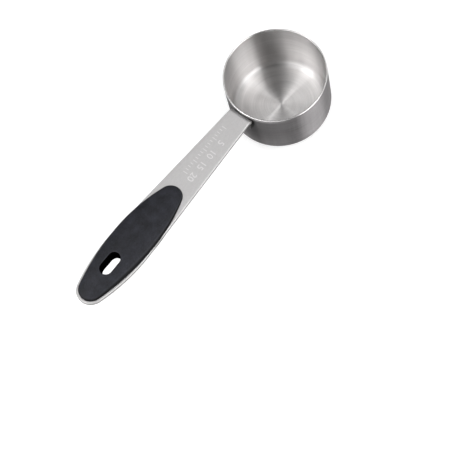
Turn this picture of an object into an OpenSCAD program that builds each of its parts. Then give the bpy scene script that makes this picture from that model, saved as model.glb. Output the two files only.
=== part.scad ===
// Measuring scoop: a drawn steel cup on a flat steel handle with a soft grip on both faces.
// The origin is the centre of the cup's underside, +Z is up, and the handle runs along +X.

/* [Cup] */
// Outside diameter of the cup
cup_d = 42; // [30:0.5:60]
// Height of the cup
cup_h = 26; // [18:0.5:40]
// Thickness of the cup's sheet
cup_wall = 0.6; // [0.4:0.1:1.2]
// Outside radius of the corner between wall and floor
corner_r = 5.5; // [2:0.5:8]

/* [Handle] */
// Overall length, from the cup's far side to the handle's end
total_l = 140; // [132:1:180]
// Thickness of the handle's strip
strip_t = 1.5; // [0.8:0.1:2.5]
// Width of the handle at the cup
neck_w = 10.4; // [8:0.2:14]
// Greatest width of the handle
widest_w = 18; // [16:0.5:24]
// Distance from the handle's end back to its widest place
widest_from_end = 26.5; // [20:0.5:36]
// Radius of the handle's end
end_r = 6; // [4:0.5:7]
// Height of the cup's rim above the handle
rim_rise = 0.2; // [0:0.1:1]
// Inside radius of the bend from strip to tab
bend_r = 0.6; // [0.3:0.1:1.5]
// Height of the tab on the cup's wall, from the handle's top
tab_h = 7; // [6.5:0.5:10]
// Radius of the tab's lower corners
tab_corner_r = 2; // [0.5:0.5:4]

/* [Welds] */
// Diameter of each spot weld
weld_d = 2.6; // [1.5:0.1:3]
// Distance between the spot welds
weld_pitch = 5; // [3.5:0.5:6]
// Depth of the spot welds below the handle's top
weld_drop = 4.5; // [4:0.1:5]

/* [Grip outline] */
// Length of the grip
grip_l = 57.3; // [50:0.1:64]
// Steel left bare beside the grip's widest place
side_margin = 0.35; // [0.2:0.05:1.5]
// Steel left bare beyond the grip's tail
tail_margin = 1; // [0.5:0.1:3]
// Distance from the handle's widest place to the grip's own, towards the cup
grip_widest_shift = 5; // [0:0.5:8]
// Radius of the grip's end towards the cup
grip_nose_r = 5; // [4:0.1:6]
// Radius of the grip's tail
grip_tail_r = 5.2; // [4:0.1:6]

/* [Grip pads] */
// Thickness of the front pad at its highest place
front_rise = 3.1; // [2.9:0.1:4.5]
// Thickness of the front pad at the sides of its widest place
front_side_t = 1.55; // [1.2:0.05:2.2]
// Thickness of the front pad at its end towards the cup
front_nose_t = 0.55; // [0.5:0.05:1.2]
// Distance from the grip's tail to the front pad's highest place
front_top_from_tail = 26; // [20:0.5:30]
// Thickness of the back pad along its middle
back_rise = 2.3; // [1.4:0.1:4]
// Thickness of the back pad at the sides of its widest place
back_side_t = 0.45; // [0.3:0.05:1]

/* [Hanging slot] */
// Length of the slot
slot_l = 9.8; // [8:0.1:12]
// Width of the slot
slot_w = 5.2; // [4.6:0.1:7]
// Distance from the handle's end to the slot's middle
slot_from_end = 17.9; // [14:0.1:20]

/* [Grip keys] */
// Thickness of the collar that lines the slot through the strip
collar_wall = 0.8; // [0.5:0.1:1.2]
// Diameter of the posts that pass through the strip
post_d = 3; // [2:0.1:4]
// Distance from the grip's end towards the cup to the first post
first_post = 11; // [9:0.5:14]
// Distance between the posts
post_pitch = 14; // [6:0.5:15]
// Depth of the posts in the back pad
post_seat = 0.6; // [0.3:0.1:0.8]
// Room between the keys and their holes
key_clear = 0.05; // [0.02:0.01:0.15]

/* [Hidden] */
cup_r = cup_d / 2;
cup_inner_r = cup_r - cup_wall;
handle_end = total_l - cup_r;
strip_top = cup_h - rim_rise;
strip_bottom = strip_top - strip_t;
bend_outer_r = bend_r + strip_t;
tab_outer = cup_r + strip_t;
bend_x = tab_outer + bend_r;
bend_z = strip_bottom - bend_r;
tab_bottom = strip_top - tab_h;
widest_x = handle_end - widest_from_end;
widest_r = widest_w / 2;
grip_r = widest_r - side_margin;
grip_widest_x = widest_x - grip_widest_shift;
grip_tail = handle_end - tail_margin;
grip_nose = grip_tail - grip_l;
front_top_x = grip_tail - front_top_from_tail;
slot_x = handle_end - slot_from_end;
collar_l = slot_l + 2 * collar_wall;
collar_w = slot_w + 2 * collar_wall;
post_xs = [for (i = [0:1]) grip_nose + first_post + i * post_pitch];
weld_z = strip_top - weld_drop;
// Overrun of a cut past the faces it opens
over = strip_t;
// Facets of the drawn circles and of the crowns, and steps of each arc in an outline
$fn = 96;
crown_fn = 720;
arc_steps = 16;

// Points of an arc of radius r round c, from one angle to another
function arc(c, r, from, to) =
    [for (i = [0:arc_steps]) let (t = from + (to - from) * i / arc_steps) c + r * [cos(t), sin(t)]];

// Radius of a side arc that is level at half width w and runs tangent into an end circle
// of radius r whose tip lies the distance a further on
function side_radius(a, w, r) = (a * a - 2 * a * r + w * w) / (2 * (w - r));

// Upper half of an outline that is widest at x = 0 and round at its tip, x = a: the side arc
// starts at the given angle and runs tangent into the end arc
function half_end(a, w, r, from = 90) =
    let (big = side_radius(a, w, r), join = atan2(big - w, a - r))
    concat(arc([0, w - big], big, from, join), arc([a - r, 0], r, join, 0));

// Angle at which a line from the point p touches the upper side of a circle of radius r round c
function touch(p, c, r) = let (d = p - c) atan2(d.y, d.x) - acos(r / norm(d));

// Closed outline from the points of its upper half
function both_sides(upper) =
    concat(upper, [for (i = [len(upper) - 1:-1:0]) if (upper[i].y > 0) [upper[i].x, -upper[i].y]]);

// Radius of a crown that falls by drop at the distance reach from its top
function crown_radius(reach, drop) = (reach * reach + drop * drop) / (2 * drop);

// Outline of the strip: straight flanks that touch the side arcs of its wide end
module strip_outline() {
    big = side_radius(widest_from_end, widest_r, end_r);
    start = [bend_x - widest_x, neck_w / 2];
    from = touch(start, [0, widest_r - big], big);
    translate([widest_x, 0])
        polygon(both_sides(concat([start], half_end(widest_from_end, widest_r, end_r, from))));
}

// Outline of the grip: a half oval towards the tail and one towards the cup
module grip_outline() {
    tail = half_end(grip_tail - grip_widest_x, grip_r, grip_tail_r);
    nose = half_end(grip_widest_x - grip_nose, grip_r, grip_nose_r);
    translate([grip_widest_x, 0])
        polygon(both_sides(concat([for (i = [len(nose) - 1:-1:1]) [-nose[i].x, nose[i].y]], tail)));
}

// Slot with round ends, centred on the hanging slot's place
module slot_outline(l, w) {
    translate([slot_x, 0]) {
        square([l - w, w], center = true);
        for (side = [-1, 1]) translate([side * (l - w) / 2, 0]) circle(w / 2);
    }
}

// Half section of a cup-shaped solid with a rounded lower corner
module cup_section(r, h, c) {
    square([r - c, h]);
    translate([0, c]) square([r, h - c]);
    translate([r - c, c]) circle(c);
}

// Ring body crowned across and along the grip, whose highest place is the front pad's
module front_crown() {
    cross_r = crown_radius(grip_r, front_rise - front_side_t);
    long_r = crown_radius(front_top_x - grip_nose, front_rise - front_nose_t);
    translate([front_top_x, 0, front_rise - long_r]) rotate([90, 0, 0])
        rotate_extrude($fn = crown_fn) translate([long_r - cross_r, 0])
            circle(cross_r, $fn = crown_fn);
}

// Bar crowned across the grip only
module back_crown() {
    cross_r = crown_radius(grip_r, back_rise - back_side_t);
    translate([grip_nose - over, 0, back_rise - cross_r]) rotate([0, 90, 0])
        cylinder(r = cross_r, h = grip_l + 2 * over, $fn = crown_fn);
}

// Pad that stands on the plane z = 0 under the crown passed to it, with the hanging slot through it
module pad(rise) {
    difference() {
        intersection() {
            linear_extrude(rise + over) grip_outline();
            children();
        }
        translate([0, 0, -over]) linear_extrude(rise + 2 * over) slot_outline(slot_l, slot_w);
    }
}

// Deep-drawn cup with an open top
module cup() {
    color("silver") difference() {
        rotate_extrude() intersection() {
            cup_section(cup_r, cup_h, corner_r);
            square([cup_r, cup_h]);
        }
        translate([0, 0, cup_wall]) rotate_extrude() intersection() {
            cup_section(cup_inner_r, cup_h, corner_r - cup_wall);
            square([cup_inner_r, cup_h]);
        }
    }
}

// Tab that hangs down the cup's wall, with rounded lower corners
module tab() {
    translate([tab_outer, 0, 0]) rotate([90, 0, -90]) linear_extrude(strip_t) {
        translate([-neck_w / 2, tab_bottom + tab_corner_r])
            square([neck_w, bend_z - tab_bottom - tab_corner_r]);
        translate([tab_corner_r - neck_w / 2, tab_bottom])
            square([neck_w - 2 * tab_corner_r, tab_corner_r]);
        for (side = [-1, 1]) translate([side * (neck_w / 2 - tab_corner_r), tab_bottom + tab_corner_r])
            circle(tab_corner_r);
    }
}

// Quarter bend that joins the tab to the strip
module bend() {
    intersection() {
        translate([bend_x, 0, bend_z]) rotate([90, 0, 0]) difference() {
            cylinder(r = bend_outer_r, h = neck_w + over, center = true);
            cylinder(r = bend_r, h = neck_w + 2 * over, center = true);
        }
        translate([cup_r, -neck_w / 2, bend_z]) cube([bend_outer_r, neck_w, bend_outer_r]);
    }
}

// Cylinder along +X at each spot weld, from the cup's axis to the tab's outer face and past it
module weld_bars(past) {
    for (side = [-1, 1]) translate([0, side * weld_pitch / 2, weld_z])
        rotate([0, 90, 0]) cylinder(d = weld_d, h = tab_outer + past);
}

// Stamped strip with its tab, the lined slot's hole and the post holes
module handle() {
    color("gainsboro") difference() {
        union() {
            translate([0, 0, strip_bottom]) linear_extrude(strip_t) strip_outline();
            bend();
            tab();
        }
        translate([0, 0, strip_bottom - over]) linear_extrude(strip_t + 2 * over)
            slot_outline(collar_l + 2 * key_clear, collar_w + 2 * key_clear);
        for (x = post_xs) translate([x, 0, strip_bottom - over])
            cylinder(d = post_d + 2 * key_clear, h = strip_t + 2 * over);
        weld_bars(over);
    }
}

// Weld nuggets from the cup's wall to the tab's outer face
module spot_welds() {
    color("lightslategray") difference() {
        weld_bars(0);
        cylinder(r = cup_r, h = cup_h);
    }
}

// Front pad, with the collar round the slot and the posts that go through the strip
module front_grip() {
    color("dimgray") translate([0, 0, strip_top]) {
        pad(front_rise) front_crown();
        translate([0, 0, -strip_t]) linear_extrude(strip_t) difference() {
            slot_outline(collar_l, collar_w);
            slot_outline(slot_l, slot_w);
        }
        for (x = post_xs) translate([x, 0, -strip_t - post_seat])
            cylinder(d = post_d, h = strip_t + post_seat);
    }
}

// Back pad, with a blind seat for each post
module back_grip() {
    color("dimgray") translate([0, 0, strip_bottom]) mirror([0, 0, 1]) difference() {
        pad(back_rise) back_crown();
        for (x = post_xs) translate([x, 0, -over])
            cylinder(d = post_d + 2 * key_clear, h = post_seat + key_clear + over);
    }
}

cup();
handle();
spot_welds();
front_grip();
back_grip();
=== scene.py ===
import math

import bmesh
import bpy
from mathutils import Matrix, Vector


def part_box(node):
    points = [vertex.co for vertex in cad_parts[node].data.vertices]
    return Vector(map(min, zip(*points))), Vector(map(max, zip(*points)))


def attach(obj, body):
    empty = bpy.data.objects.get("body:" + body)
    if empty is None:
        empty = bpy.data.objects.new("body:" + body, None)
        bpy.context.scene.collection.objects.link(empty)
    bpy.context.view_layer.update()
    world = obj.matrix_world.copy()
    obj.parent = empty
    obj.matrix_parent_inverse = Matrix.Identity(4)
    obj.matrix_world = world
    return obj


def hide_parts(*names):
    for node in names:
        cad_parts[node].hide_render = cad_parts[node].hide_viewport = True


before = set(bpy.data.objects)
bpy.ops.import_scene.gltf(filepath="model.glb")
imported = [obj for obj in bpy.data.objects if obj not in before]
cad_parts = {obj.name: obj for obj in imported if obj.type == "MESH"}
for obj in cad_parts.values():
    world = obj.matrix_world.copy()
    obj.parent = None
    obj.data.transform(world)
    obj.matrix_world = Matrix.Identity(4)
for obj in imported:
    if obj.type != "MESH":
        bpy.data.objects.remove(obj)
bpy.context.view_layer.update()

MM = 0.001


# The cup is deep-drawn from one round of stainless sheet. Its inside is spun with an abrasive,
# so fine rings run round the wall and the floor; the outside is brushed round, and the rim is
# turned round and smooth.
cup_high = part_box("cup")[1]
cup_r = cup_high.y
cup_h = cup_high.z
cup_wall = 0.6 * MM
corner_r = 5.5 * MM
foot_r = cup_r - corner_r
rim_r = cup_wall / 2
cup_inner_r = cup_r - cup_wall
inner_corner_r = 3.8 * MM
inner_foot_r = cup_inner_r - inner_corner_r
# Middle of the painted shade round the tab.
painted_shade_centre = (cup_r, 0, cup_h - 7 * MM)
corner_band_start = 15 * MM
corner_band = 12 * MM


def link_object(name, data):
    """A new object of that mesh or curve in the scene, at the origin."""
    obj = bpy.data.objects.new(name, data)
    bpy.context.scene.collection.objects.link(obj)
    return obj


def node(tree, kind, place, **settings):
    """A node of that kind in the tree, with its properties set."""
    made = tree.nodes.new(kind)
    made.location = (place[0] * 180, -place[1] * 160)
    for key, value in settings.items():
        setattr(made, key, value)
    return made


def maths(tree, operation, place, *values):
    """A Math node: each value is a number or another node's output."""
    made = node(tree, "ShaderNodeMath", place, operation=operation)
    for socket, value in zip(made.inputs, values):
        if isinstance(value, bpy.types.NodeSocket):
            tree.links.new(value, socket)
        else:
            socket.default_value = value
    return made.outputs[0]


def arc(centre, radius, start, end, steps):
    """Points of an arc in degrees, both ends included."""
    turns = [math.radians(start + (end - start) * i / steps) for i in range(steps + 1)]
    return [(centre[0] + radius * math.cos(t), centre[1] + radius * math.sin(t)) for t in turns]


def spin_tree():
    """Geometry nodes that turn a half section into a round body. The half section is a line of points
    (radius, 0, height)."""
    tree = bpy.data.node_groups.new("Spin on the lathe", "GeometryNodeTree")
    face = tree.interface
    face.new_socket("Half section", in_out="INPUT", socket_type="NodeSocketGeometry")
    for name, kind in (("Steps round", "NodeSocketInt"), ("Points", "NodeSocketInt"),
                       ("Weld distance", "NodeSocketFloat"), ("Material", "NodeSocketMaterial")):
        face.new_socket(name, in_out="INPUT", socket_type=kind)
    face.new_socket("Body", in_out="OUTPUT", socket_type="NodeSocketGeometry")
    link = tree.links.new
    inputs = node(tree, "NodeGroupInput", (0, 0))
    grid = node(tree, "GeometryNodeMeshGrid", (2, 0))
    grid.inputs["Size X"].default_value = 1
    grid.inputs["Size Y"].default_value = 1
    link(maths(tree, "ADD", (1, 0), inputs.outputs["Steps round"], 1), grid.inputs["Vertices X"])
    link(inputs.outputs["Points"], grid.inputs["Vertices Y"])
    place = node(tree, "GeometryNodeInputPosition", (0, 3))
    parts = node(tree, "ShaderNodeSeparateXYZ", (1, 3))
    link(place.outputs[0], parts.inputs[0])
    turn_share = maths(tree, "ADD", (2, 3), parts.outputs["X"], 0.5)
    turn = maths(tree, "MULTIPLY", (3, 3), turn_share, 2 * math.pi)
    last = maths(tree, "SUBTRACT", (2, 5), inputs.outputs["Points"], 1)
    station = maths(tree, "MULTIPLY", (3, 4), maths(tree, "ADD", (2, 4), parts.outputs["Y"], 0.5), last)
    rounded = maths(tree, "ROUND", (4, 4), station)
    taken = node(tree, "GeometryNodeSampleIndex", (5, 4), data_type="FLOAT_VECTOR", domain="POINT")
    link(inputs.outputs["Half section"], taken.inputs["Geometry"])
    link(place.outputs[0], taken.inputs["Value"])
    link(rounded, taken.inputs["Index"])
    section = node(tree, "ShaderNodeSeparateXYZ", (6, 4))
    link(taken.outputs[0], section.inputs[0])
    spot = node(tree, "ShaderNodeCombineXYZ", (8, 3))
    link(maths(tree, "MULTIPLY", (7, 3), section.outputs["X"], maths(tree, "COSINE", (6, 2), turn)),
         spot.inputs["X"])
    link(maths(tree, "MULTIPLY", (7, 4), section.outputs["X"], maths(tree, "SINE", (6, 3), turn)),
         spot.inputs["Y"])
    link(section.outputs["Z"], spot.inputs["Z"])
    moved = node(tree, "GeometryNodeSetPosition", (9, 0))
    link(grid.outputs["Mesh"], moved.inputs["Geometry"])
    link(spot.outputs[0], moved.inputs["Position"])
    welded = node(tree, "GeometryNodeMergeByDistance", (10, 0))
    link(moved.outputs[0], welded.inputs["Geometry"])
    link(inputs.outputs["Weld distance"], welded.inputs["Distance"])
    real = node(tree, "GeometryNodeRealizeInstances", (11, 0))
    link(welded.outputs[0], real.inputs[0])
    dressed = node(tree, "GeometryNodeSetMaterial", (12, 0))
    link(real.outputs[0], dressed.inputs["Geometry"])
    link(inputs.outputs["Material"], dressed.inputs["Material"])
    out = node(tree, "NodeGroupOutput", (13, 0))
    link(dressed.outputs[0], out.inputs[0])
    return tree


def grown(name, source, tree, values):
    """The plain mesh object that a geometry node tree makes of a source mesh."""
    base = link_object(name + " base", source)
    modifier = base.modifiers.new("Grow", "NODES")
    modifier.node_group = tree
    for item in tree.interface.items_tree:
        if item.in_out == "INPUT" and item.name in values:
            modifier[item.identifier] = values[item.name]
    done = bpy.data.meshes.new_from_object(base.evaluated_get(bpy.context.evaluated_depsgraph_get()))
    base.modifiers.remove(modifier)
    bpy.data.objects.remove(base)
    done.materials.clear()
    done.materials.append(values["Material"])
    done.polygons.foreach_set("material_index", [0] * len(done.polygons))
    return link_object(name, done)


def half_section(name, points):
    """The line that the lathe turns, from points of radius and height."""
    line = bpy.data.meshes.new(name)
    pairs = [(i, i + 1) for i in range(len(points) - 1)]
    line.from_pydata([(r, 0, z) for r, z in points], pairs, [])
    return line


def smooth_outward(obj):
    """Merges doubles, turns every face outwards and shades the mesh smooth."""
    bm = bmesh.new()
    bm.from_mesh(obj.data)
    bmesh.ops.remove_doubles(bm, verts=bm.verts, dist=1e-7)
    bmesh.ops.dissolve_degenerate(bm, dist=1e-8, edges=bm.edges)
    bmesh.ops.recalc_face_normals(bm, faces=bm.faces)
    for face in bm.faces:
        face.smooth = True
    bm.to_mesh(obj.data)
    bm.free()


def brush_group():
    """Shader group for brushed and spun steel: masks for its fine lines, faint broad bands, streaks
    across them and smudges."""
    group = bpy.data.node_groups.new("Brushed lines", "ShaderNodeTree")
    face = group.interface
    for name in ("Across", "Along x", "Along y", "Lines per metre", "Streak per metre"):
        face.new_socket(name, in_out="INPUT", socket_type="NodeSocketFloat")
    for name in ("Lines", "Bands", "Streaks", "Smudge"):
        face.new_socket(name, in_out="OUTPUT", socket_type="NodeSocketFloat")
    link = group.links.new
    inputs = node(group, "NodeGroupInput", (0, 0))
    out = node(group, "NodeGroupOutput", (8, 0))
    layers = (("Lines", 1, 1, 3), ("Bands", 0.16, 0.3, 2),
              ("Streaks", 0.015, 12, 3), ("Smudge", 0.02, 1, 3))
    for row, (name, across_share, along_share, detail) in enumerate(layers):
        spot = node(group, "ShaderNodeCombineXYZ", (4, row * 2))
        parts = (("Across", "Lines per metre", across_share, "X"),
                 ("Along x", "Streak per metre", along_share, "Y"),
                 ("Along y", "Streak per metre", along_share, "Z"))
        for column, (value, rate, share, axis) in enumerate(parts):
            scaled = maths(group, "MULTIPLY", (2, row * 2 + column), inputs.outputs[rate], share)
            link(maths(group, "MULTIPLY", (3, row * 2 + column), inputs.outputs[value], scaled),
                 spot.inputs[axis])
        noise = node(group, "ShaderNodeTexNoise", (5, row * 2))
        noise.inputs["Scale"].default_value = 1
        noise.inputs["Detail"].default_value = detail
        noise.inputs["Roughness"].default_value = 0.6
        link(spot.outputs[0], noise.inputs["Vector"])
        spread = node(group, "ShaderNodeMapRange", (6, row * 2))
        spread.inputs["From Min"].default_value = 0.25
        spread.inputs["From Max"].default_value = 0.75
        link(noise.outputs["Fac"], spread.inputs["Value"])
        link(spread.outputs["Result"], out.inputs[name])
    return group


def tab_painted_shade_group():
    """Shader group for the painted shade on the steel round the tab: 1 far from it, down to Least beside
    it, and 1 again above Top. It follows the photo, which doesn't show what makes the steel dark there."""
    group = bpy.data.node_groups.new("Painted shade round the tab", "ShaderNodeTree")
    face = group.interface
    face.new_socket("Position", in_out="INPUT", socket_type="NodeSocketVector")
    for name in ("Near", "Far", "Least", "Top"):
        face.new_socket(name, in_out="INPUT", socket_type="NodeSocketFloat")
    face.new_socket("Unshaded", in_out="OUTPUT", socket_type="NodeSocketFloat")
    link = group.links.new
    inputs = node(group, "NodeGroupInput", (0, 0))
    reach = node(group, "ShaderNodeVectorMath", (1, 0), operation="DISTANCE")
    link(inputs.outputs["Position"], reach.inputs[0])
    reach.inputs[1].default_value = painted_shade_centre
    spread = node(group, "ShaderNodeMapRange", (2, 0), interpolation_type="SMOOTHSTEP")
    link(reach.outputs["Value"], spread.inputs["Value"])
    link(inputs.outputs["Near"], spread.inputs["From Min"])
    link(inputs.outputs["Far"], spread.inputs["From Max"])
    link(inputs.outputs["Least"], spread.inputs["To Min"])
    parts = node(group, "ShaderNodeSeparateXYZ", (1, 2))
    link(inputs.outputs["Position"], parts.inputs[0])
    above = maths(group, "GREATER_THAN", (2, 2), parts.outputs["Z"], inputs.outputs["Top"])
    out = node(group, "NodeGroupOutput", (4, 0))
    link(maths(group, "MAXIMUM", (3, 0), spread.outputs["Result"], above), out.inputs["Unshaded"])
    return group


brushed_lines = brush_group()
tab_painted_shade = tab_painted_shade_group()


def steel_material(name, light, dark, smooth, rough, lines, streaks, bump, turned, cross=0.15,
                   corner=None, painted_shade=None):
    """Steel with brushed lines: two colours, two roughnesses, line rates and the bump's height.
    Turned steel has its lines round the cup's axis, and the rest has them along X. cross is the share of
    the streaks that lie across the lines. corner is painted shade in the inner corner: how much of the
    colour it keeps, as points (place, share) of a curve over radius plus height, given to stand in for
    what the real corner mirrors. The last argument holds the near and far reach of the painted shade
    round the tab, its least value and its top."""
    material = bpy.data.materials.new(name)
    material.use_nodes = True
    tree = material.node_tree
    link = tree.links.new
    shader = tree.nodes["Principled BSDF"]
    shader.inputs["Metallic"].default_value = 1
    place = node(tree, "ShaderNodeTexCoord", (-8, 0))
    parts = node(tree, "ShaderNodeSeparateXYZ", (-7, 0))
    link(place.outputs["Object"], parts.inputs[0])
    x, y, z = (parts.outputs[axis] for axis in "XYZ")
    brush = node(tree, "ShaderNodeGroup", (-3, 0), node_tree=brushed_lines)
    brush.inputs["Lines per metre"].default_value = lines
    brush.inputs["Streak per metre"].default_value = streaks
    if turned:
        flat = node(tree, "ShaderNodeCombineXYZ", (-6, 0))
        link(x, flat.inputs["X"])
        link(y, flat.inputs["Y"])
        reach = node(tree, "ShaderNodeVectorMath", (-5, 0), operation="LENGTH")
        link(flat.outputs[0], reach.inputs[0])
        unit = node(tree, "ShaderNodeVectorMath", (-5, 1), operation="NORMALIZE")
        link(flat.outputs[0], unit.inputs[0])
        way = node(tree, "ShaderNodeSeparateXYZ", (-4, 1))
        link(unit.outputs[0], way.inputs[0])
        link(maths(tree, "ADD", (-4, 0), reach.outputs["Value"], z), brush.inputs["Across"])
        link(way.outputs["X"], brush.inputs["Along x"])
        link(way.outputs["Y"], brush.inputs["Along y"])
        tangent = node(tree, "ShaderNodeTangent", (-1, 4), direction_type="RADIAL", axis="Z")
        link(tangent.outputs[0], shader.inputs["Tangent"])
        shader.inputs["Anisotropic"].default_value = 1
        shader.inputs["Anisotropic Rotation"].default_value = 0.25
    else:
        link(y, brush.inputs["Across"])
        link(x, brush.inputs["Along x"])
        link(z, brush.inputs["Along y"])
    fine = maths(tree, "MULTIPLY", (-2, 1), brush.outputs["Lines"], 0.6 * (1 - cross))
    broad = maths(tree, "MULTIPLY", (-2, 2), brush.outputs["Bands"], 0.4 * (1 - cross))
    across = maths(tree, "MULTIPLY", (-2, 3), brush.outputs["Streaks"], cross)
    tone = maths(tree, "ADD", (-1, 1), maths(tree, "ADD", (-2, 0), fine, broad), across)
    colour = node(tree, "ShaderNodeMix", (-1, 0), data_type="RGBA")
    colour.inputs["A"].default_value = (*dark, 1)
    colour.inputs["B"].default_value = (*light, 1)
    link(tone, colour.inputs["Factor"])
    # Painted shade round the tab: the colour is multiplied down near it.
    if painted_shade:
        shade_share = node(tree, "ShaderNodeGroup", (-2, -2), node_tree=tab_painted_shade)
        link(place.outputs["Object"], shade_share.inputs["Position"])
        for socket, value in zip(("Near", "Far", "Least", "Top"), painted_shade):
            shade_share.inputs[socket].default_value = value
        shaded_colour = node(tree, "ShaderNodeMix", (0, -1), data_type="RGBA", blend_type="MULTIPLY")
        shaded_colour.inputs["Factor"].default_value = 1
        link(colour.outputs["Result"], shaded_colour.inputs["A"])
        link(shade_share.outputs[0], shaded_colour.inputs["B"])
        link(shaded_colour.outputs["Result"], shader.inputs["Base Color"])
    else:
        link(colour.outputs["Result"], shader.inputs["Base Color"])
    gloss = node(tree, "ShaderNodeMapRange", (-1, 2))
    gloss.inputs["To Min"].default_value = smooth
    gloss.inputs["To Max"].default_value = rough
    smudged = maths(tree, "ADD", (-2, 4), tone, brush.outputs["Smudge"])
    mixed = maths(tree, "MULTIPLY", (-2, 3), smudged, 0.5)
    link(mixed, gloss.inputs["Value"])
    link(gloss.outputs["Result"], shader.inputs["Roughness"])
    # Painted shade: the curve darkens the colour in a ring round the inner corner.
    if corner:
        band = node(tree, "ShaderNodeFloatCurve", (0, -2))
        curve = band.mapping.curves[0]
        curve.points[0].location = corner[0]
        curve.points[1].location = corner[-1]
        for spot, share in corner[1:-1]:
            curve.points.new(spot, share)
        band.mapping.update()
        outward = maths(tree, "ADD", (-4, -3), reach.outputs["Value"], z)
        past = maths(tree, "SUBTRACT", (-3, -3), outward, corner_band_start)
        along = maths(tree, "DIVIDE", (-2, -3), past, corner_band)
        link(maths(tree, "MAXIMUM", (-1, -3), along, 0), band.inputs["Value"])
        shaded_colour = node(tree, "ShaderNodeMix", (1, -1), data_type="RGBA", blend_type="MULTIPLY")
        shaded_colour.inputs["Factor"].default_value = 1
        link(colour.outputs["Result"], shaded_colour.inputs["A"])
        link(band.outputs["Value"], shaded_colour.inputs["B"])
        link(shaded_colour.outputs["Result"], shader.inputs["Base Color"])
    relief = node(tree, "ShaderNodeBump", (-1, 5))
    relief.inputs["Distance"].default_value = bump
    relief.inputs["Strength"].default_value = 1
    link(tone, relief.inputs["Height"])
    link(relief.outputs[0], shader.inputs["Normal"])
    return material


# The inside and outside are the same steel. The inside's near-white colour is painted light and the
# outside's dark colour painted shade; the outside darkens further round the tab with painted shade.
painted_light_inside_steel = steel_material("Spun steel inside, painted light", (0.98, 0.96, 0.953), (0.66, 0.646, 0.641),
                              0.28, 0.36, 2600, 0.9, 0.000002, True,
                              corner=((0, 0.71), (0.1, 0.75), (0.17, 0.76), (0.27, 0.68), (0.36, 0.62),
                                      (0.43, 0.74), (0.5, 0.83), (0.6, 0.88), (0.72, 1), (1, 1)))
painted_shade_outside_steel = steel_material("Brushed steel outside, painted shade", (0.28, 0.27, 0.273), (0.125, 0.12, 0.122),
                               0.42, 0.56, 5000, 1.6, 0.000003, True,
                               cross=0.22, painted_shade=(4 * MM, 26 * MM, 0.35, 24.4 * MM))
rim_steel = steel_material("Smooth steel rim", (0.74, 0.73, 0.725), (0.6, 0.59, 0.59),
                           0.2, 0.3, 5000, 1.2, 0.000001, True)
# Light that grazes the turned rim stays dull, so its edge shows before a white wall.
rim_steel.node_tree.nodes["Principled BSDF"].inputs["Specular Tint"].default_value = (0.1, 0.1, 0.1, 1)

spin = spin_tree()
section = [(0, 0), (foot_r / 2, 0)] + arc((foot_r, corner_r), corner_r, -90, 0, 20)
section += [(cup_r, corner_r + (cup_h - rim_r - corner_r) * i / 8) for i in range(1, 8)]
section += arc((cup_r - rim_r, cup_h - rim_r), rim_r, 0, 180, 10)
section += [(cup_inner_r, cup_h - rim_r - (cup_h - rim_r - corner_r) * i / 8) for i in range(1, 8)]
section += arc((inner_foot_r, cup_wall + inner_corner_r), inner_corner_r, 0, -90, 24)
section += [(inner_foot_r * share, cup_wall) for share in (0.8, 0.6, 0.4, 0.2, 0)]
cup = grown("cup_shell", half_section("cup half section", section), spin, {
    "Steps round": 256, "Points": len(section), "Weld distance": 1e-6, "Material": painted_shade_outside_steel})
smooth_outward(cup)
cup.data.materials.append(painted_light_inside_steel)
cup.data.materials.append(rim_steel)
for face in cup.data.polygons:
    reach = math.hypot(face.center.x, face.center.y)
    if face.center.z > cup_h - rim_r:
        face.material_index = 2 if reach < cup_r - rim_r or face.normal.z > 0.3 else 0
    elif face.normal.x * face.center.x + face.normal.y * face.center.y < 0 or face.normal.z > 0.5:
        face.material_index = 1
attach(cup, "root")
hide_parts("cup")


# The handle is one stamped strip of steel, 1.5 mm thick, with eased edges. Its narrow end is bent
# down into a tab that stands against the cup, and its wide end carries the grip. It has a long hole
# and two round holes for the grip's collar and posts, and two more in the tab for the welds.
handle_low, handle_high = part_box("handle")
handle_end = handle_high.x
strip_top = handle_high.z
strip_t = 1.5 * MM
strip_bottom = strip_top - strip_t
neck_r = 5.2 * MM
widest_r = handle_high.y
widest_x = handle_end - 26.5 * MM
end_r = 6 * MM
tab_bottom = handle_low.z
tab_corner_r = 2 * MM
bend_r = 0.6 * MM
bend_x = handle_low.x + strip_t + bend_r
bend_z = strip_bottom - bend_r
bend_length = math.pi / 2 * (bend_r + strip_t / 2)
top_edge_r = 0.4 * MM
low_edge_r = 0.3 * MM
slot_l = 9.8 * MM
slot_w = 5.2 * MM
slot_x = handle_end - 17.9 * MM
collar_wall = 0.8 * MM
key_clear = 0.05 * MM
post_r = 1.5 * MM
grip_low, grip_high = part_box("front_grip")
first_post = 11 * MM
post_pitch = 14 * MM
post_xs = [grip_low.x + first_post + post_pitch * i for i in range(2)]
weld_r = 1.3 * MM
weld_y = 2.5 * MM
weld_z = strip_top - 4.5 * MM


def side_radius(a, w, r):
    """Radius of a side arc that is level at half width w and runs smoothly into an end circle r, whose
    tip lies at a."""
    return (a * a - 2 * a * r + w * w) / (2 * (w - r))


def half_end(x, a, w, r, start=90, steps=40):
    """Points and outward directions of an outline's upper half, from x, where it is widest, to its round
    tip."""
    big = side_radius(a, w, r)
    join = math.degrees(math.atan2(big - w, a - r))
    found = []
    for centre, radius, first, last in (((x, w - big), big, start, join), ((x + a - r, 0), r, join, 0)):
        for i in range(steps + 1):
            if found and i == 0:
                continue
            turn = math.radians(first + (last - first) * i / steps)
            way = (math.cos(turn), math.sin(turn))
            found.append(((centre[0] + radius * way[0], centre[1] + radius * way[1]), way))
    return found


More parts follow.
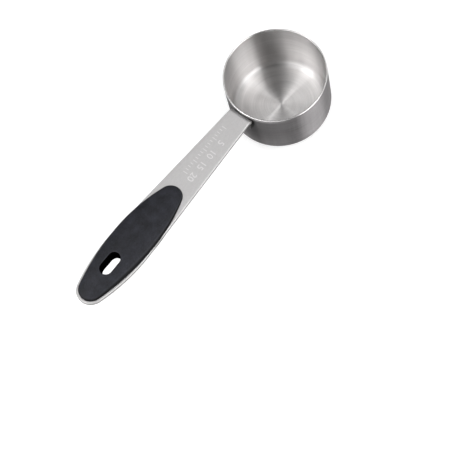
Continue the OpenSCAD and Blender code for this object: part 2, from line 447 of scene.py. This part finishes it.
def strip_line():
    """Half outline of the flat blank, tab end first: points with their outward directions."""
    straight = bend_z - tab_bottom
    blank_start = bend_x - straight - bend_length
    corner = (blank_start + tab_corner_r, neck_r - tab_corner_r)
    found = [((blank_start, corner[1] * i / 4), (-1, 0)) for i in range(4)]
    for x, y in arc(corner, tab_corner_r, 180, 90, 10):
        found.append(((x, y), ((x - corner[0]) / tab_corner_r, (y - corner[1]) / tab_corner_r)))
    for i in range(1, 7):
        found.append(((corner[0] + (bend_x - bend_length - corner[0]) * i / 7, neck_r), (0, 1)))
    for i in range(25):
        found.append(((bend_x - bend_length + bend_length * i / 24, neck_r), (0, 1)))
    big = side_radius(handle_end - widest_x, widest_r, end_r)
    dx, dy = bend_x - widest_x, neck_r - (widest_r - big)
    touch = math.degrees(math.atan2(dy, dx)) - math.degrees(math.acos(big / math.hypot(dx, dy)))
    flank = half_end(widest_x, handle_end - widest_x, widest_r, end_r, touch)
    (x1, y1), way = flank[0]
    for i in range(1, 30):
        share = i / 30
        found.append(((bend_x + (x1 - bend_x) * share, neck_r + (y1 - neck_r) * share), way))
    return found + flank


def folded(x, y, lift):
    """Place of a point of the flat blank, lift above its underside, after the bend."""
    if x >= bend_x:
        return Vector((x, y, strip_bottom + lift))
    if x >= bend_x - bend_length:
        turn = (bend_x - x) / bend_length * math.pi / 2
        reach = bend_r + lift
        return Vector((bend_x - reach * math.sin(turn), y, bend_z + reach * math.cos(turn)))
    return Vector((bend_x - bend_r - lift, y, bend_z - (bend_x - bend_length - x)))


def strip_mesh():
    """The bent strip as one closed mesh with round edges."""
    edge = []
    for k in range(7):
        turn = math.radians(90 * k / 6)
        edge.append((top_edge_r * (1 - math.sin(turn)), strip_t - top_edge_r * (1 - math.cos(turn))))
    for k in range(5):
        turn = math.radians(90 * k / 4)
        edge.append((low_edge_r * (1 - math.cos(turn)), low_edge_r * (1 - math.sin(turn))))
    outline = strip_line()
    bm = bmesh.new()
    rows = {}
    for side in (1, -1):
        rows[side] = []
        for (x, y), (nx, ny) in outline:
            inset = edge[0][0]
            row = [folded(x - nx * inset, side * (y - ny * inset) * share, strip_t)
                   for share in (0, 0.5)]
            row += [folded(x - nx * inset, side * (y - ny * inset), lift) for inset, lift in edge]
            inset = edge[-1][0]
            row += [folded(x - nx * inset, side * (y - ny * inset) * share, 0) for share in (0.5, 0)]
            rows[side].append([bm.verts.new(place) for place in row])
    for side in (1, -1):
        for one, two in zip(rows[side], rows[side][1:]):
            for a, b, c, d in zip(one, two, two[1:], one[1:]):
                bm.faces.new((a, b, c, d))
    bmesh.ops.remove_doubles(bm, verts=bm.verts, dist=1e-6)
    bmesh.ops.dissolve_degenerate(bm, dist=1e-7, edges=bm.edges)
    bmesh.ops.recalc_face_normals(bm, faces=bm.faces)
    mesh = bpy.data.meshes.new("handle_strip")
    bm.to_mesh(mesh)
    bm.free()
    return mesh


def carved(obj, cutters):
    """Cuts the cutters out of obj and removes them."""
    for cutter in cutters:
        cut = obj.modifiers.new("Cut", "BOOLEAN")
        cut.operation = "DIFFERENCE"
        cut.solver = "EXACT"
        cut.object = cutter
    done = bpy.data.meshes.new_from_object(obj.evaluated_get(bpy.context.evaluated_depsgraph_get()))
    obj.modifiers.clear()
    obj.data = done
    for cutter in cutters:
        bpy.data.objects.remove(cutter)


def prism(name, outline, low, high):
    """A closed upright body over an outline."""
    bm = bmesh.new()
    ends = [[bm.verts.new((x, y, z)) for x, y in outline] for z in (low, high)]
    for face in ends:
        bm.faces.new(face)
    for i in range(len(outline)):
        j = (i + 1) % len(outline)
        bm.faces.new((ends[0][i], ends[0][j], ends[1][j], ends[1][i]))
    bmesh.ops.recalc_face_normals(bm, faces=bm.faces)
    mesh = bpy.data.meshes.new(name)
    bm.to_mesh(mesh)
    bm.free()
    return link_object(name, mesh)


def circle(x, y, r, steps=48):
    """Points round a circle."""
    return [(x + r * math.cos(t), y + r * math.sin(t)) for t in
            (2 * math.pi * i / steps for i in range(steps))]


def slot_line(grow, steps=24):
    """Points round the hanging slot, grown by a width."""
    straight = (slot_l - slot_w) / 2
    r = slot_w / 2 + grow
    right = arc((slot_x + straight, 0), r, -90, 90, steps)
    left = arc((slot_x - straight, 0), r, 90, 270, steps)
    return right + left


# Both strip steels darken round the tab below its top: painted shade. The darker edge steel is the
# sheared finish on the cut sides and painted shade on the steep part of the eased edges.
handle_steel = steel_material("Satin steel strip", (0.62, 0.61, 0.61), (0.5, 0.492, 0.492),
                              0.48, 0.6, 9000, 1800, 0.000002, False,
                              cross=0, painted_shade=(8 * MM, 12 * MM, 0.2, 24.2 * MM))
sheared_and_shaded_edge_steel = steel_material("Sheared steel edge, painted shade", (0.42, 0.415, 0.41), (0.3, 0.295, 0.29),
                            0.4, 0.55, 6000, 1500, 0.000004, False,
                            cross=0.3, painted_shade=(8 * MM, 12 * MM, 0.16, 24.2 * MM))
# Satin and sheared steel mirror less than polished steel where light grazes them.
for steel, grazing in ((handle_steel, 0.4), (sheared_and_shaded_edge_steel, 0.2)):
    shader = steel.node_tree.nodes["Principled BSDF"]
    shader.inputs["Specular Tint"].default_value = (grazing, grazing, grazing, 1)
handle = link_object("handle_strip", strip_mesh())
cutters = [prism("collar hole", slot_line(collar_wall + key_clear), strip_bottom - MM, strip_top + MM)]
cutters += [prism("post hole", circle(x, 0, post_r + key_clear), strip_bottom - MM, strip_top + MM)
            for x in post_xs]
for side in (-1, 1):
    cutter = prism("weld hole", circle(0, 0, weld_r + key_clear), 0, 3 * strip_t)
    cutter.data.transform(Matrix.Translation((handle_low.x - strip_t, side * weld_y, weld_z))
                          @ Matrix.Rotation(math.pi / 2, 4, "Y"))
    cutters.append(cutter)
carved(handle, cutters)
handle.data.materials.clear()
handle.data.materials.append(handle_steel)
handle.data.materials.append(sheared_and_shaded_edge_steel)
# Faces that lean out past this take the darker edge steel: the cut sides, where it is the sheared finish,
# and the steep part of the eased top edge, where it is painted shade.
darker_edge_from = 0.62
for face in handle.data.polygons:
    face.use_smooth = True
    out = math.hypot(face.normal.x, face.normal.y) if face.center.x > bend_x else abs(face.normal.y)
    if out > darker_edge_from or face.center.z < tab_bottom + top_edge_r:
        face.material_index = 1
handle.data.set_sharp_from_angle(angle=math.radians(40))
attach(handle, "root")
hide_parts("handle")


# The neck carries a scale of short lines with plain numbers, laser-etched into the bare strip. The
# etching is pale and matt, and stands a hundredth of a millimetre or two proud.
scale_start = 30 * MM
scale_pitch = 1.5 * MM
scale_foot = -2.9 * MM
short_line = 1.3 * MM
long_line = 2.1 * MM
line_count = 17
line_w = 0.26 * MM
etch_t = 0.03 * MM
number_size = 3.9 * MM
number_y = 1.4 * MM
numbers = ("5", "10", "15", "20")
lines_a_number = 4


def tick_tree():
    """Geometry nodes that lay a row of etched lines along X, side by side."""
    tree = bpy.data.node_groups.new("Row of etched lines", "GeometryNodeTree")
    face = tree.interface
    for name, kind in (("Geometry", "Geometry"), ("First", "Vector"), ("Count", "Int"),
                       ("Pitch", "Float"), ("Width", "Float"), ("Length", "Float"),
                       ("Height", "Float"), ("Material", "Material")):
        face.new_socket(name, in_out="INPUT", socket_type="NodeSocket" + kind)
    face.new_socket("Lines", in_out="OUTPUT", socket_type="NodeSocketGeometry")
    link = tree.links.new
    inputs = node(tree, "NodeGroupInput", (0, 0))
    step = node(tree, "ShaderNodeCombineXYZ", (1, 1))
    link(inputs.outputs["Pitch"], step.inputs["X"])
    row = node(tree, "GeometryNodeMeshLine", (2, 0))
    link(inputs.outputs["Count"], row.inputs["Count"])
    link(inputs.outputs["First"], row.inputs["Start Location"])
    link(step.outputs[0], row.inputs["Offset"])
    size = node(tree, "ShaderNodeCombineXYZ", (1, 2))
    for name, axis in (("Width", "X"), ("Length", "Y"), ("Height", "Z")):
        link(inputs.outputs[name], size.inputs[axis])
    bar = node(tree, "GeometryNodeMeshCube", (2, 2))
    link(size.outputs[0], bar.inputs["Size"])
    placed = node(tree, "GeometryNodeInstanceOnPoints", (3, 0))
    link(row.outputs[0], placed.inputs["Points"])
    link(bar.outputs["Mesh"], placed.inputs["Instance"])
    real = node(tree, "GeometryNodeRealizeInstances", (4, 0))
    link(placed.outputs[0], real.inputs[0])
    dressed = node(tree, "GeometryNodeSetMaterial", (5, 0))
    link(real.outputs[0], dressed.inputs["Geometry"])
    link(inputs.outputs["Material"], dressed.inputs["Material"])
    out = node(tree, "NodeGroupOutput", (6, 0))
    link(dressed.outputs[0], out.inputs[0])
    return tree


def etched_number(text, x):
    """A number's mesh, centred at x on the neck."""
    curve = bpy.data.curves.new("number", "FONT")
    curve.body = text
    curve.size = number_size
    curve.extrude = etch_t / 2
    curve.align_x = "CENTER"
    curve.align_y = "CENTER"
    raised = link_object("number", curve)
    mesh = bpy.data.meshes.new_from_object(raised.evaluated_get(bpy.context.evaluated_depsgraph_get()))
    bpy.data.objects.remove(raised)
    mesh.transform(Matrix.Translation((x, number_y, strip_top)))
    return mesh


etched_steel = steel_material("Etched scale", (0.8, 0.79, 0.79), (0.68, 0.67, 0.67), 0.5, 0.62,
                              9000, 5000, 0.000001, False, cross=0)
ticks = tick_tree()
bm = bmesh.new()
for count, pitch, length, height in (
        (line_count, scale_pitch, short_line, etch_t),
        (len(numbers) + 1, lines_a_number * scale_pitch, long_line, 1.1 * etch_t)):
    first = Vector((scale_start, scale_foot + length / 2, strip_top))
    row = grown("etched_row", bpy.data.meshes.new("row"), ticks, {
        "First": first, "Count": count, "Pitch": pitch, "Width": line_w, "Length": length,
        "Height": height, "Material": etched_steel})
    bm.from_mesh(row.data)
    bpy.data.objects.remove(row)
for i, text in enumerate(numbers):
    bm.from_mesh(etched_number(text, scale_start + lines_a_number * (i + 1) * scale_pitch))
scale = link_object("neck_scale", bpy.data.meshes.new("neck_scale"))
bm.to_mesh(scale.data)
bm.free()
smooth_outward(scale)
scale.data.materials.append(etched_steel)
for face in scale.data.polygons:
    face.use_smooth = False
    face.material_index = 0
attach(scale, "root")


# Two spot welds hold the tab to the cup. Each is a nugget of fused steel that shows on the tab as a
# round, slightly sunk spot with a soft raised ring.
weld_steel = steel_material("Weld spot", (0.26, 0.255, 0.25), (0.14, 0.138, 0.135), 0.35, 0.5,
                            4000, 1.5, 0.000004, False)
dish = 0.12 * MM
weld_section = [(0, 0), (weld_r, 0), (weld_r, strip_t - dish)]
weld_section += [(weld_r * share, strip_t - dish * sunk) for share, sunk in
                 ((0.94, 0.25), (0.86, 0), (0.76, 0.15), (0.62, 0.6), (0.45, 0.9), (0.2, 1), (0, 1))]
nugget = grown("spot_weld", half_section("weld half section", weld_section), spin, {
    "Steps round": 48, "Points": len(weld_section), "Weld distance": 1e-6, "Material": weld_steel})
smooth_outward(nugget)
bm = bmesh.new()
for side in (-1, 1):
    part = nugget.data.copy()
    part.transform(Matrix.Translation((handle_low.x, side * weld_y, weld_z))
                   @ Matrix.Rotation(math.pi / 2, 4, "Y"))
    bm.from_mesh(part)
    bpy.data.meshes.remove(part)
welds = link_object("spot_weld_nuggets", bpy.data.meshes.new("spot_weld_nuggets"))
bm.to_mesh(welds.data)
bm.free()
bpy.data.objects.remove(nugget)
welds.data.materials.append(weld_steel)
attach(welds, "root")
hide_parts("spot_welds")


# The grip's front pad is moulded soft-touch rubber, crowned across and along, with a round edge.
# A collar through the strip lines the hanging slot, and two posts key it into the back pad.
grip_nose = grip_low.x
grip_tail = grip_high.x
grip_r = grip_high.y
grip_widest_x = widest_x - 5 * MM
grip_nose_r = 5 * MM
grip_tail_r = 5.2 * MM
front_rise = grip_high.z - strip_top
front_side_t = 1.55 * MM
front_nose_t = 0.55 * MM
front_edge_r = 1.3 * MM
front_top_x = grip_tail - 26 * MM
slot_rim_r = 0.35 * MM
post_seat = 0.6 * MM
post_root = 0.2 * MM


def grip_line():
    """Whole outline of a pad, anticlockwise from the tail's tip, with outward directions."""
    tail = half_end(grip_widest_x, grip_tail - grip_widest_x, grip_r, grip_tail_r)
    nose = half_end(0, grip_widest_x - grip_nose, grip_r, grip_nose_r)
    nose = [((grip_widest_x - x, y), (-nx, ny)) for (x, y), (nx, ny) in nose]
    upper = tail[::-1] + nose[1:]
    lower = [((x, -y), (nx, -ny)) for (x, y), (nx, ny) in upper[1:-1]][::-1]
    return upper + lower


def crown_radius(reach, drop):
    """Radius of a crown that falls by drop at that reach from its top."""
    return (reach * reach + drop * drop) / (2 * drop)


def sag(radius, reach):
    """Fall of a round crown at that reach from its top."""
    return radius - math.sqrt(radius * radius - reach * reach)


def front_height(x, y):
    """Height of the front pad above the strip."""
    cross_r = crown_radius(grip_r, front_rise - front_side_t)
    long_r = crown_radius(front_top_x - grip_nose, front_rise - front_nose_t)
    return front_rise - sag(long_r, abs(x - front_top_x)) - sag(cross_r, abs(y))


def slot_ray(way):
    """Distance from the slot's middle to its edge in a direction, and the edge's outward direction."""
    straight = (slot_l - slot_w) / 2
    r = slot_w / 2
    c, s = abs(way[0]), abs(way[1])
    if s > 1e-9 and c / s * r <= straight:
        return r / s, (0, math.copysign(1, way[1]))
    reach = straight * c + math.sqrt(max(0, r * r - (straight * s) ** 2))
    spot = (reach * way[0] - math.copysign(straight, way[0]), reach * way[1])
    return reach, (spot[0] / r, spot[1] / r)


def pad_mesh(name, height, edge_r, through, collar):
    """A pad that stands on z = 0: side wall, round edge, crown, slot rim, slot wall and underside.
    edge_r(x, y) is the radius of the outer edge, the slot's wall goes down to -through, and collar is
    the thickness of the wall there."""
    outline = grip_line()
    mates = []
    for (x, y), way in outline:
        spread = math.hypot(x - slot_x, y)
        reach, mate_way = slot_ray(((x - slot_x) / spread, y / spread))
        mates.append(((slot_x + reach * (x - slot_x) / spread, reach * y / spread), mate_way))
    rings = []

    def ring(inset, level, around):
        """A ring of points inset from the outline, or outset from the slot, at the height that level()
        gives."""
        made = []
        for (x, y), (nx, ny) in around:
            width = inset(x, y)
            px, py = x + nx * width, y + ny * width
            made.append((px, py, level(px, py, x, y)))
        rings.append(made)

    ring(lambda x, y: 0, lambda px, py, x, y: 0, outline)
    for share in (0.5, 1):
        ring(lambda x, y: 0, lambda px, py, x, y: share * (height(x, y) - edge_r(x, y)), outline)
    for k in range(1, 9):
        turn = math.radians(90 * k / 8)
        ring(lambda x, y: -edge_r(x, y) * (1 - math.cos(turn)),
             lambda px, py, x, y: height(px, py) - edge_r(x, y) * (1 - math.sin(turn)), outline)
    rim_ring = [(x + nx * slot_rim_r, y + ny * slot_rim_r) for (x, y), (nx, ny) in mates]
    for k in range(1, 20):
        even = k / 20
        share = even * even * (3 - 2 * even) * 0.4 + even * 0.6
        made = []
        for ((x, y), (nx, ny)), (u, v) in zip(outline, rim_ring):
            width = edge_r(x, y)
            x, y = x - nx * width, y - ny * width
            px, py = x + (u - x) * share, y + (v - y) * share
            made.append((px, py, height(px, py)))
        rings.append(made)
    for k in range(6):
        turn = math.radians(90 * k / 5)
        ring(lambda x, y: slot_rim_r * (1 - math.sin(turn)),
             lambda px, py, x, y: height(px, py) - slot_rim_r * (1 - math.cos(turn)), mates)
    ring(lambda x, y: 0, lambda px, py, x, y: 0, mates)
    if through:
        ring(lambda x, y: 0, lambda px, py, x, y: -through, mates)
        ring(lambda x, y: collar, lambda px, py, x, y: -through, mates)
        ring(lambda x, y: collar, lambda px, py, x, y: 0, mates)
    bm = bmesh.new()
    loops = [[bm.verts.new(place) for place in made] for made in rings]
    count = len(outline)
    for one, two in zip(loops, loops[1:] + loops[:1]):
        for i in range(count):
            j = (i + 1) % count
            bm.faces.new((one[i], one[j], two[j], two[i]))
    bmesh.ops.remove_doubles(bm, verts=bm.verts, dist=1e-7)
    bmesh.ops.dissolve_degenerate(bm, dist=1e-8, edges=bm.edges)
    bmesh.ops.recalc_face_normals(bm, faces=bm.faces)
    mesh = bpy.data.meshes.new(name)
    bm.to_mesh(mesh)
    bm.free()
    return mesh


def front_edge(x, y):
    """Radius of the front pad's outer edge, which takes at most four fifths of the pad's height there."""
    return min(front_edge_r, 0.8 * front_height(x, y))


def rubber_material(name, light, dark, speckle, relief_height, gloss_range, level):
    """Black soft-touch rubber: a fine leathery speckle and a faint blue-grey tone, full on the crown,
    with painted shade that makes the round edges deep black, and duller round edges. speckle is the
    grain's rate per metre, and level the specular level."""
    material = bpy.data.materials.new(name)
    material.use_nodes = True
    tree = material.node_tree
    link = tree.links.new
    shader = tree.nodes["Principled BSDF"]
    place = node(tree, "ShaderNodeTexCoord", (-6, 0))
    fine = node(tree, "ShaderNodeTexNoise", (-5, 0))
    fine.inputs["Scale"].default_value = speckle
    fine.inputs["Detail"].default_value = 3
    broad = node(tree, "ShaderNodeTexNoise", (-5, 2))
    broad.inputs["Scale"].default_value = speckle / 10
    broad.inputs["Detail"].default_value = 5
    for noise in (fine, broad):
        link(place.outputs["Object"], noise.inputs["Vector"])
    mixed = maths(tree, "ADD", (-4, 1), maths(tree, "MULTIPLY", (-4, 0), fine.outputs["Fac"], 0.5),
                  maths(tree, "MULTIPLY", (-4, 2), broad.outputs["Fac"], 0.5))
    spread = node(tree, "ShaderNodeMapRange", (-3, 1))
    spread.inputs["From Min"].default_value = 0.35
    spread.inputs["From Max"].default_value = 0.65
    link(mixed, spread.inputs["Value"])
    colour = node(tree, "ShaderNodeMix", (-2, 0), data_type="RGBA")
    colour.inputs["A"].default_value = (*dark, 1)
    colour.inputs["B"].default_value = (*light, 1)
    link(spread.outputs["Result"], colour.inputs["Factor"])
    # The colour falls towards the round edges as faces tilt from level: painted shade. The same mask
    # makes the edges rougher.
    facing = node(tree, "ShaderNodeSeparateXYZ", (-5, -2))
    link(place.outputs["Normal"], facing.inputs[0])
    level_way = maths(tree, "ABSOLUTE", (-4, -2), facing.outputs["Z"])
    crown = node(tree, "ShaderNodeMapRange", (-3, -2), interpolation_type="SMOOTHSTEP")
    crown.inputs["From Min"].default_value = 0.5
    crown.inputs["From Max"].default_value = 0.93
    crown.inputs["To Min"].default_value = 0.12
    link(level_way, crown.inputs["Value"])
    painted_edge_shade = node(tree, "ShaderNodeMix", (-1, -1), data_type="RGBA", blend_type="MULTIPLY")
    painted_edge_shade.inputs["Factor"].default_value = 1
    link(colour.outputs["Result"], painted_edge_shade.inputs["A"])
    link(crown.outputs["Result"], painted_edge_shade.inputs["B"])
    link(painted_edge_shade.outputs["Result"], shader.inputs["Base Color"])
    gloss = node(tree, "ShaderNodeMapRange", (-2, 2))
    gloss.inputs["To Min"].default_value, gloss.inputs["To Max"].default_value = gloss_range
    link(spread.outputs["Result"], gloss.inputs["Value"])
    off_crown = maths(tree, "SUBTRACT", (-3, 3), 1, crown.outputs["Result"])
    dull = maths(tree, "MULTIPLY", (-2, 3), off_crown, 0.55)
    link(maths(tree, "ADD", (-1, 3), gloss.outputs["Result"], dull), shader.inputs["Roughness"])
    relief = node(tree, "ShaderNodeBump", (-2, 4))
    relief.inputs["Distance"].default_value = relief_height
    link(fine.outputs["Fac"], relief.inputs["Height"])
    link(relief.outputs[0], shader.inputs["Normal"])
    shader.inputs["Specular IOR Level"].default_value = level
    return material


def add_posts(mesh, low, high):
    """Adds the keys' posts to a pad's mesh, as closed round bodies."""
    bm = bmesh.new()
    bm.from_mesh(mesh)
    for x in post_xs:
        ends = [[bm.verts.new((px, py, z)) for px, py in circle(x, 0, post_r)] for z in (low, high)]
        bm.faces.new(ends[0][::-1])
        bm.faces.new(ends[1])
        for i in range(len(ends[0])):
            j = (i + 1) % len(ends[0])
            bm.faces.new((ends[0][i], ends[0][j], ends[1][j], ends[1][i]))
    bm.to_mesh(mesh)
    bm.free()


rubber = rubber_material("Soft-touch rubber", (0.021, 0.022, 0.03), (0.004, 0.0042, 0.006),
                         2600, 0.00008, (0.4, 0.54), 0.27)
# The slot wall's near-black rubber, without specular, is painted shade in the deep slot.
shaded_slot_rubber = rubber_material("Rubber slot wall, painted shade", (0.003, 0.003, 0.003), (0.001, 0.001, 0.001),
                              2600, 0.00002, (0.7, 0.8), 0)


def line_slot(pad):
    """Gives the slot's wall the near-black rubber, painted shade, below the round rim."""
    near_slot = slot_l / 2 + 0.1 * MM
    pad.materials.append(shaded_slot_rubber)
    for face in pad.polygons:
        reach = math.hypot(face.center.x - slot_x, face.center.y)
        if reach < near_slot and abs(face.normal.z) < 0.7:
            face.material_index = 1


front_mesh = pad_mesh("front_grip_pad", front_height, front_edge, strip_t, collar_wall)
add_posts(front_mesh, -strip_t - post_seat, post_root)
front_mesh.transform(Matrix.Translation((0, 0, strip_top)))
front_grip = link_object("front_grip_pad", front_mesh)
front_grip.data.materials.append(rubber)
line_slot(front_grip.data)
for face in front_grip.data.polygons:
    face.use_smooth = True
front_grip.data.set_sharp_from_angle(angle=math.radians(50))
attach(front_grip, "root")
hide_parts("front_grip")


# The back pad is the same rubber, thinner and crowned across only, and it closes the grip from
# below. Its blind seats take the ends of the front pad's posts.
back_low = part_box("back_grip")[0]
back_rise = strip_bottom - back_low.z
back_side_t = 0.45 * MM
back_edge_r = 0.35 * MM


def back_height(x, y):
    """Height of the back pad from the strip's underside."""
    return back_rise - sag(crown_radius(grip_r, back_rise - back_side_t), abs(y))


def back_edge(x, y):
    """Radius of the back pad's outer edge, the same all round."""
    return back_edge_r


back_mesh = pad_mesh("back_grip_pad", back_height, back_edge, 0, 0)
back_mesh.transform(Matrix.Diagonal((1, 1, -1, 1)))
back_mesh.transform(Matrix.Translation((0, 0, strip_bottom)))
back_grip = link_object("back_grip_pad", back_mesh)
smooth_outward(back_grip)
seats = [prism("post seat", circle(x, 0, post_r + key_clear), strip_bottom - post_seat - key_clear,
               strip_bottom + MM) for x in post_xs]
carved(back_grip, seats)
back_grip.data.materials.clear()
back_grip.data.materials.append(rubber)
line_slot(back_grip.data)
for face in back_grip.data.polygons:
    face.use_smooth = True
back_grip.data.set_sharp_from_angle(angle=math.radians(50))
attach(back_grip, "root")
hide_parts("back_grip")


# Studio: a pale floor under the cup, soft boxes all round in the world's light, and a camera with a
# 120 mm lens that looks steeply down, as in the photograph.
floor_r = 1.5
floor_z = -0.02 * MM


def stage_material(name, colour, glow):
    """A plain pale surface that shows white to the camera and in the steel."""
    material = bpy.data.materials.new(name)
    material.use_nodes = True
    tree = material.node_tree
    link = tree.links.new
    tree.nodes.clear()
    matte = node(tree, "ShaderNodeBsdfDiffuse", (0, 0))
    matte.inputs["Color"].default_value = (*colour, 1)
    light = node(tree, "ShaderNodeEmission", (0, 1))
    path = node(tree, "ShaderNodeLightPath", (-3, 1))
    seen = maths(tree, "MAXIMUM", (-2, 1), path.outputs["Is Camera Ray"],
                 maths(tree, "MAXIMUM", (-2, 2), path.outputs["Is Glossy Ray"],
                       path.outputs["Is Transmission Ray"]))
    link(maths(tree, "MULTIPLY", (-1, 1), seen, glow), light.inputs["Strength"])
    both = node(tree, "ShaderNodeAddShader", (1, 0))
    link(matte.outputs[0], both.inputs[0])
    link(light.outputs[0], both.inputs[1])
    out = node(tree, "ShaderNodeOutputMaterial", (2, 0))
    link(both.outputs[0], out.inputs["Surface"])
    return material


floor = link_object("studio_floor", bpy.data.meshes.new("studio_floor"))
floor.data.from_pydata([(*spot, floor_z) for spot in circle(0, 0, floor_r, 64)], [], [range(64)])
floor.data.materials.append(stage_material("Pale floor", (0.6, 0.6, 0.6), 0.55))


def soft_box_group():
    """Shader group for one soft box in the studio, seen from the cup: its light in a direction."""
    group = bpy.data.node_groups.new("Soft box", "ShaderNodeTree")
    face = group.interface
    for name in ("Way azimuth", "Way elevation", "Azimuth", "Half width", "Side fade",
                 "Elevation", "Half height", "Top fade", "Brightness"):
        face.new_socket(name, in_out="INPUT", socket_type="NodeSocketFloat")
    face.new_socket("Light", in_out="OUTPUT", socket_type="NodeSocketFloat")
    link = group.links.new
    inputs = node(group, "NodeGroupInput", (0, 0))
    off_azimuth = maths(group, "SUBTRACT", (1, 0),
                        inputs.outputs["Way azimuth"], inputs.outputs["Azimuth"])
    turn = maths(group, "WRAP", (2, 0), off_azimuth, 180, -180)
    rise = maths(group, "SUBTRACT", (2, 3), inputs.outputs["Way elevation"], inputs.outputs["Elevation"])
    shares = []
    sides = ((turn, "Half width", "Side fade"), (rise, "Half height", "Top fade"))
    for row, (off, half, fade) in enumerate(sides):
        half_fade = maths(group, "MULTIPLY", (2, 3 * row + 1), inputs.outputs[fade], 0.5)
        inner = maths(group, "SUBTRACT", (3, 3 * row + 1), inputs.outputs[half], half_fade)
        outer = maths(group, "ADD", (3, 3 * row + 2), inputs.outputs[half], half_fade)
        edge = node(group, "ShaderNodeMapRange", (4, 3 * row), interpolation_type="SMOOTHSTEP")
        link(maths(group, "ABSOLUTE", (3, 3 * row), off), edge.inputs["Value"])
        link(inner, edge.inputs["From Min"])
        link(outer, edge.inputs["From Max"])
        edge.inputs["To Min"].default_value = 1
        edge.inputs["To Max"].default_value = 0
        shares.append(edge.outputs["Result"])
    both = maths(group, "MULTIPLY", (5, 0), *shares)
    out = node(group, "NodeGroupOutput", (7, 0))
    link(maths(group, "MULTIPLY", (6, 0), both, inputs.outputs["Brightness"]), out.inputs["Light"])
    return group


world = bpy.data.worlds.new("Studio")
bpy.context.scene.world = world
world.use_nodes = True
sky = world.node_tree
way = node(sky, "ShaderNodeTexCoord", (-9, 0))
parts = node(sky, "ShaderNodeSeparateXYZ", (-8, 0))
sky.links.new(way.outputs["Generated"], parts.inputs[0])
round_turn = maths(sky, "ARCTAN2", (-7, 0), parts.outputs["Y"], parts.outputs["X"])
azimuth = maths(sky, "DEGREES", (-6, 0), round_turn)
elevation = maths(sky, "DEGREES", (-6, 1), maths(sky, "ARCSINE", (-7, 1), parts.outputs["Z"]))
# The room's pale wall glows all round, low over the floor.
wall = node(sky, "ShaderNodeMapRange", (-5, -2), interpolation_type="SMOOTHSTEP")
wall.inputs["From Min"].default_value = 8
wall.inputs["From Max"].default_value = 13
wall.inputs["To Min"].default_value = 1
wall.inputs["To Max"].default_value = 0
sky.links.new(elevation, wall.inputs["Value"])
# Each soft box has its azimuth, half width and side fade, then its elevation, half height and top
# fade, all in degrees, and its brightness. The key, the fill, the low box and the high boxes came from
# a fit to the photo's tones, rounded to whole degrees and then partly changed. The small boxes and the
# ceiling were set one by one.
soft_box = soft_box_group()
boxes = 0
for row, (name, *values) in enumerate((
        ("Key from the right", 99, 24, 8, 25, 29, 8, 3),
        ("Fill behind the key", 134, 49, 10, 34, 45, 46, 1.15),
        ("High box on the left", 338, 38, 43, 57, 16, 8, 2.4),
        ("Low box in front", 5, 48, 34, 4, 20, 51, 2.8),
        ("Small box over the handle", 300, 14, 8, 66, 4, 5, 6),
        ("Small box over the cup", 146, 14, 10, 70, 4, 5, 4),
        ("High box at the back", 274, 67, 72, 54, 9, 14, 1.9),
        ("Ceiling", 0, 181, 2, 90, 16, 20, 0.5))):
    box = node(sky, "ShaderNodeGroup", (-4, row * 3), node_tree=soft_box, label=name)
    sky.links.new(azimuth, box.inputs["Way azimuth"])
    sky.links.new(elevation, box.inputs["Way elevation"])
    for socket, value in zip(list(box.inputs)[2:], values):
        socket.default_value = value
    boxes = maths(sky, "ADD", (-3 + row * 0.2, row * 3), box.outputs[0], boxes)
strength = maths(sky, "MAXIMUM", (-1, 0), wall.outputs["Result"], boxes)
sky.nodes["Background"].inputs["Color"].default_value = (1, 1, 1, 1)
sky.links.new(strength, sky.nodes["Background"].inputs["Strength"])

# The camera's place and axes came from a fit to the cup's rim and base and the handle's edges.
camera_place = Vector((0.19915, 0.23273, 0.5720))
camera_right = Vector((-0.62523, 0.76971, -0.12902))
camera_down = Vector((0.74655, 0.54165, -0.38637))
camera_forward = Vector((-0.2275, -0.33789, -0.91328))
camera = link_object("camera", bpy.data.cameras.new("camera"))
camera.data.lens = 120
camera.data.sensor_width = 36
camera.data.clip_start = 0.01
turned = Matrix((camera_right, -camera_down, -camera_forward)).transposed().to_4x4()
camera.matrix_world = Matrix.Translation(camera_place) @ turned
bpy.context.scene.camera = camera
bpy.context.scene.view_settings.view_transform = "Standard"
